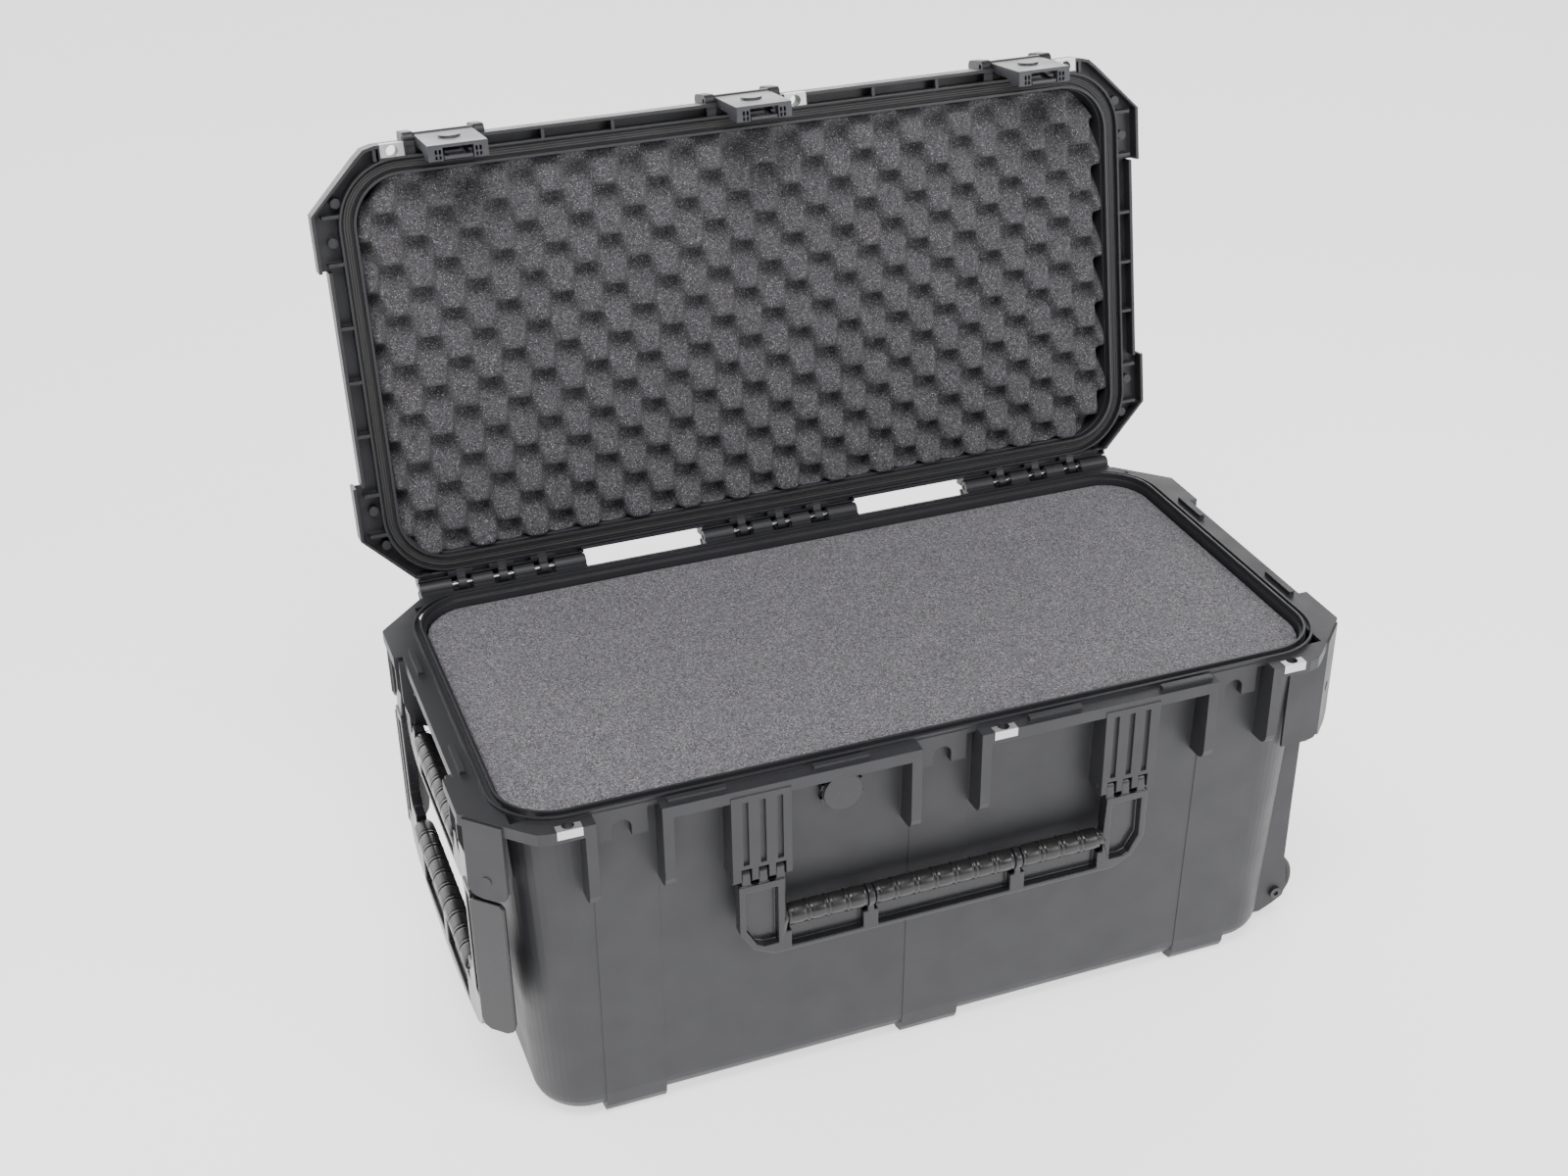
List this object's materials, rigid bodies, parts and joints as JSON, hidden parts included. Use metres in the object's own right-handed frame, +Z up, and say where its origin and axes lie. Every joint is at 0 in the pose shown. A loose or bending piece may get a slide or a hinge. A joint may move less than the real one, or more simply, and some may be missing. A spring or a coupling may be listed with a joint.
{
  "type": "hard equipment case",
  "caption": "Wheeled watertight hard case with hinged lid, trigger latches, folding front, end carry and tow handles, and foam filling in base and lid.",
  "frame": {"origin": "centre of the underside of the middle runner, on the floor", "axes": "+Z up; -Y is the front with the latches and the long handle; +X is the wheeled end; the lid is hinged along +Y and drawn fully open"},
  "size_m": [0.813, 0.5382, 0.7516],
  "materials": {
    "moulded_plastic": "satin",
    "lid_plastic": "satin",
    "latch_plastic": "satin",
    "handle_plastic": "satin",
    "grip_rubber": "satin",
    "gasket_rubber": "matte",
    "base_foam": "matte",
    "lid_foam": "matte",
    "stainless": "satin",
    "steel": "polished",
    "spring_steel": "satin",
    "dark_steel": "satin",
    "membrane": "matte",
    "tyre_rubber": "matte",
    "wheel_plastic": "satin"
  },
  "bodies": {
    "base": {"base_shell": "moulded_plastic", "hinge_pins": "steel", "foam_bottom_pad": "base_foam", "foam_layer_lower": "base_foam", "foam_layer_middle": "base_foam", "foam_layer_upper": "base_foam", "base_padlock_plates": "stainless", "valve_body": "handle_plastic", "valve_membrane": "membrane", "valve_o_ring": "gasket_rubber", "front_handle_pins": "steel", "carry_handle_pins": "steel", "tow_handle_pins": "steel", "wheel_axles": "dark_steel", "wheel_axle_nuts": "dark_steel"},
    "lid": {"lid_shell": "lid_plastic", "lid_gasket": "gasket_rubber", "lid_foam": "lid_foam", "lid_padlock_plates": "stainless", "latch_pins": "steel"},
    "front_handle": {"front_handle_frame": "handle_plastic", "front_handle_grips": "grip_rubber"},
    "carry_handle": {"carry_handle_frame": "handle_plastic", "carry_handle_grip": "grip_rubber"},
    "tow_handle": {"tow_handle_frame": "handle_plastic", "tow_handle_grip": "grip_rubber"},
    "wheel_front": {"wheel_hub_front": "wheel_plastic", "wheel_tyre_front": "tyre_rubber", "wheel_bearings_front": "steel"},
    "wheel_back": {"wheel_hub_back": "wheel_plastic", "wheel_tyre_back": "tyre_rubber", "wheel_bearings_back": "steel"},
    "latch_left": {"latch_body_left": "latch_plastic", "trigger_pin_left": "steel", "trigger_spring_left": "spring_steel"},
    "trigger_left": {"latch_trigger_left": "latch_plastic"},
    "latch_centre": {"latch_body_centre": "latch_plastic", "trigger_pin_centre": "steel", "trigger_spring_centre": "spring_steel"},
    "trigger_centre": {"latch_trigger_centre": "latch_plastic"},
    "latch_right": {"latch_body_right": "latch_plastic", "trigger_pin_right": "steel", "trigger_spring_right": "spring_steel"},
    "trigger_right": {"latch_trigger_right": "latch_plastic"}
  },
  "joints": [
    {"name": "lid_hinge", "type": "hinge", "parent": "base", "child": "lid", "pos_m": [0, 0.2063, 0.3381], "axis": [1, 0, 0], "range_deg": [0, 100.5]},
    {"name": "latch_left_swing", "type": "hinge", "parent": "lid", "child": "latch_left", "pos_m": [-0.279, 0.29295, 0.74034], "axis": [-1, 0, 0], "range_deg": [-3, 95]},
    {"name": "trigger_left_pull", "type": "hinge", "parent": "latch_left", "child": "trigger_left", "pos_m": [-0.279, 0.27058, 0.73866], "axis": [-1, 0, 0], "range_deg": [0, 8], "stiffness_Nm_per_rad": 0.6, "springref_deg": -8.59},
    {"name": "latch_centre_swing", "type": "hinge", "parent": "lid", "child": "latch_centre", "pos_m": [0, 0.29295, 0.74034], "axis": [-1, 0, 0], "range_deg": [-3, 95]},
    {"name": "trigger_centre_pull", "type": "hinge", "parent": "latch_centre", "child": "trigger_centre", "pos_m": [0, 0.27058, 0.73866], "axis": [-1, 0, 0], "range_deg": [0, 8], "stiffness_Nm_per_rad": 0.6, "springref_deg": -8.59},
    {"name": "latch_right_swing", "type": "hinge", "parent": "lid", "child": "latch_right", "pos_m": [0.279, 0.29295, 0.74034], "axis": [-1, 0, 0], "range_deg": [-3, 95]},
    {"name": "trigger_right_pull", "type": "hinge", "parent": "latch_right", "child": "trigger_right", "pos_m": [0.279, 0.27058, 0.73866], "axis": [-1, 0, 0], "range_deg": [0, 8], "stiffness_Nm_per_rad": 0.6, "springref_deg": -8.59},
    {"name": "front_handle_swing", "type": "hinge", "parent": "base", "child": "front_handle", "pos_m": [0, -0.197, 0.25], "axis": [-1, 0, 0], "range_deg": [0, 100]},
    {"name": "carry_handle_swing", "type": "hinge", "parent": "base", "child": "carry_handle", "pos_m": [-0.39, 0, 0.3], "axis": [0, 1, 0], "range_deg": [0, 95]},
    {"name": "tow_handle_swing", "type": "hinge", "parent": "base", "child": "tow_handle", "pos_m": [-0.388, 0, 0.278], "axis": [0, 1, 0], "range_deg": [0, 100]},
    {"name": "wheel_front_spin", "type": "hinge", "parent": "base", "child": "wheel_front", "pos_m": [0.3765, -0.118, 0.032], "axis": [0, 1, 0], "continuous": true},
    {"name": "wheel_back_spin", "type": "hinge", "parent": "base", "child": "wheel_back", "pos_m": [0.3765, 0.118, 0.032], "axis": [0, 1, 0], "continuous": true}
  ]
}
